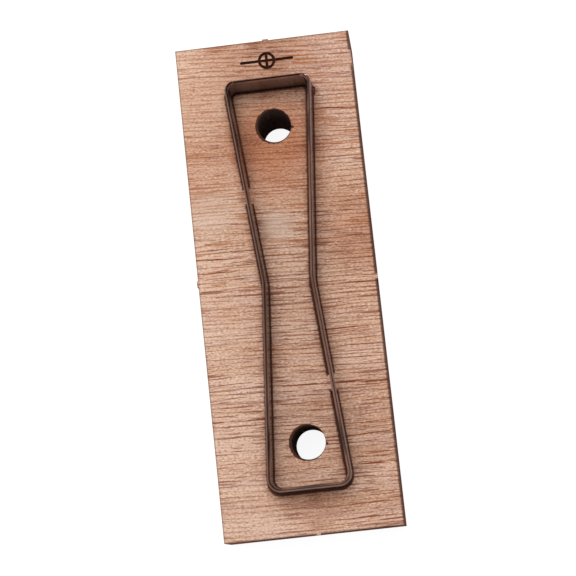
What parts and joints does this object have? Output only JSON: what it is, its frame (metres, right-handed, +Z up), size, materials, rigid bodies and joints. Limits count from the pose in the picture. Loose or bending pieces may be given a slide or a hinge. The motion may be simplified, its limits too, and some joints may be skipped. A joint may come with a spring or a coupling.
{
  "type": "steel rule die",
  "caption": "Small steel rule die: a bow-tie loop of cutting rule standing on edge in a laser-cut plywood board with push-out holes.",
  "frame": {"origin": "centre of the board's bottom face, in the plane of the press bed", "axes": "+Z up out of the board, the way the cutting edge points; +Y along the length, towards the scored mark; +X across"},
  "size_m": [0.0342, 0.0954, 0.0238],
  "materials": {
    "plywood": "raw laser-cut plywood, open-pored reddish face veneer, charred cut edges",
    "rule_steel": "dark satin tempered strip with ground bevels"
  },
  "bodies": {
    "root": {"die_board": "plywood", "cutting_rule": "rule_steel"}
  },
  "joints": []
}
